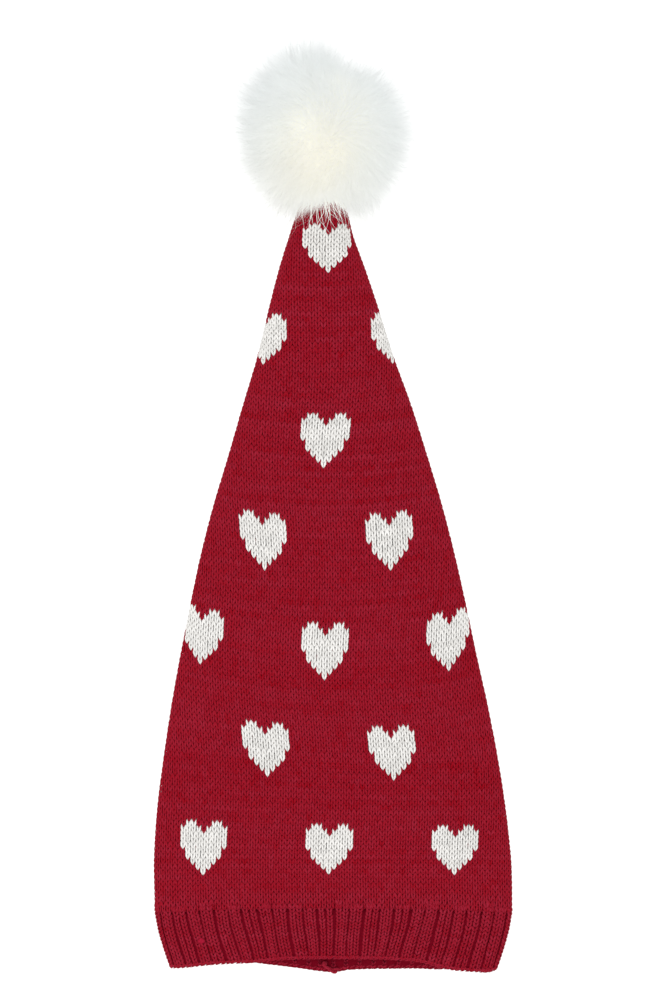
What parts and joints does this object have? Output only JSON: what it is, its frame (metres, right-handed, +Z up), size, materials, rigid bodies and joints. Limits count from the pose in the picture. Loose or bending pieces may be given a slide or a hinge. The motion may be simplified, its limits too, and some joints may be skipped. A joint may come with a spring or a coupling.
{
  "type": "knitted santa hat",
  "caption": "Long tapering knitted santa hat lying flat, with a ribbed cuff round its open mouth and a round fur pompom on its tip.",
  "frame": {"origin": "bottom of the middle of the whole hat, on the surface that it lies on", "axes": "+Y from the mouth to the pompom, +X across the hat, +Z up out of the surface, with the front of the hat on top"},
  "size_m": [0.2402, 0.6202, 0.1052],
  "materials": {
    "red_yarn": "stocking stitch in twisted acrylic yarn, matt with a little fuzz, with a charted pattern in white yarn",
    "rib_yarn": "two by one rib in twisted acrylic yarn, matt",
    "white_fur": "long soft white fur, fluffed out all round"
  },
  "bodies": {
    "root": {"crown": "red_yarn", "rib_cuff": "rib_yarn", "pompom": "white_fur", "seam_knot": "red_yarn"}
  },
  "joints": []
}
